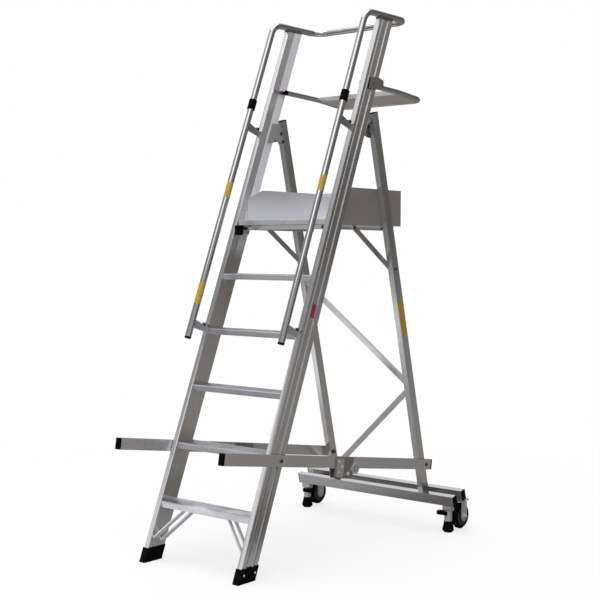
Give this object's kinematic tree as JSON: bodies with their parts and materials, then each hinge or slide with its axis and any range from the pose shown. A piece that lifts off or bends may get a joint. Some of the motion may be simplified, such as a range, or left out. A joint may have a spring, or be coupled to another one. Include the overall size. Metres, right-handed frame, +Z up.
{
  "type": "mobile platform ladder",
  "caption": "Aluminium warehouse platform ladder with ribbed treads, handrails, toe boards, knee rail tray, braced rear frame, lift bars, parking feet and tilt-to-roll wheels.",
  "frame": {"origin": "on the floor at the middle of the ladder's footprint", "axes": "+X to the climber's right, +Y away from the climber, +Z up"},
  "size_m": [0.966, 1.6298, 2.472],
  "materials": {
    "mill_aluminium": "satin, brushed lengthwise",
    "tread_aluminium": "satin, grooved",
    "sheet_aluminium": "dull rolled sheet",
    "rail_aluminium": "polished tube",
    "grey_steel": "satin dark grey",
    "zinc_steel": "zinc plated",
    "black_plastic": "moulded, fine grain",
    "foot_rubber": "matte",
    "tyre_rubber": "matte",
    "hub_plastic": "moulded"
  },
  "bodies": {
    "ladder": {"axles": "zinc_steel", "base_caps": "black_plastic", "base_tube_front": "mill_aluminium", "base_tube_rear": "mill_aluminium", "deck": "tread_aluminium", "deck_beam_front": "mill_aluminium", "deck_beam_left": "mill_aluminium", "deck_beam_right": "mill_aluminium", "deck_blocks": "black_plastic", "deck_struts": "mill_aluminium", "foot_pad_left": "foot_rubber", "foot_pad_right": "foot_rubber", "foot_pedals": "black_plastic", "foot_plates": "mill_aluminium", "foot_spindles": "zinc_steel", "fork_left": "zinc_steel", "fork_right": "zinc_steel", "guard_rail": "rail_aluminium", "handrail_brackets": "grey_steel", "handrail_left": "rail_aluminium", "handrail_plugs": "black_plastic", "handrail_right": "rail_aluminium", "hinge_brackets": "mill_aluminium", "knee_braces": "mill_aluminium", "knee_rail": "rail_aluminium", "knee_rail_clamps": "mill_aluminium", "knee_rail_latch": "grey_steel", "knuckle_knobs": "zinc_steel", "knuckle_left": "grey_steel", "knuckle_right": "grey_steel", "leg_caps": "black_plastic", "leg_left": "mill_aluminium", "leg_right": "mill_aluminium", "lift_bar_caps": "black_plastic", "lift_bar_front_left": "mill_aluminium", "lift_bar_front_right": "mill_aluminium", "lift_bar_rear_left": "mill_aluminium", "lift_bar_rear_right": "mill_aluminium", "rail_saddles": "mill_aluminium", "rail_sleeves": "black_plastic", "rear_brace_lower": "mill_aluminium", "rear_brace_upper": "mill_aluminium", "shoe_left": "black_plastic", "shoe_right": "black_plastic", "stile_left": "mill_aluminium", "stile_right": "mill_aluminium", "toe_board_left": "sheet_aluminium", "toe_board_rear": "sheet_aluminium", "toe_board_right": "sheet_aluminium", "tray": "sheet_aluminium", "tread_1": "tread_aluminium", "tread_2": "tread_aluminium", "tread_3": "tread_aluminium", "tread_4": "tread_aluminium", "tread_5": "tread_aluminium", "tread_brackets": "mill_aluminium"},
    "wheel_left": {"tyre_left": "tyre_rubber", "hub_left": "hub_plastic"},
    "wheel_right": {"tyre_right": "tyre_rubber", "hub_right": "hub_plastic"}
  },
  "joints": [
    {"name": "wheel_left_roll", "type": "hinge", "parent": "ladder", "child": "wheel_left", "pos_m": [-0.448, 0.75236, 0.0655], "axis": [1, 0, 0], "continuous": true},
    {"name": "wheel_right_roll", "type": "hinge", "parent": "ladder", "child": "wheel_right", "pos_m": [0.448, 0.75236, 0.0655], "axis": [1, 0, 0], "continuous": true}
  ]
}
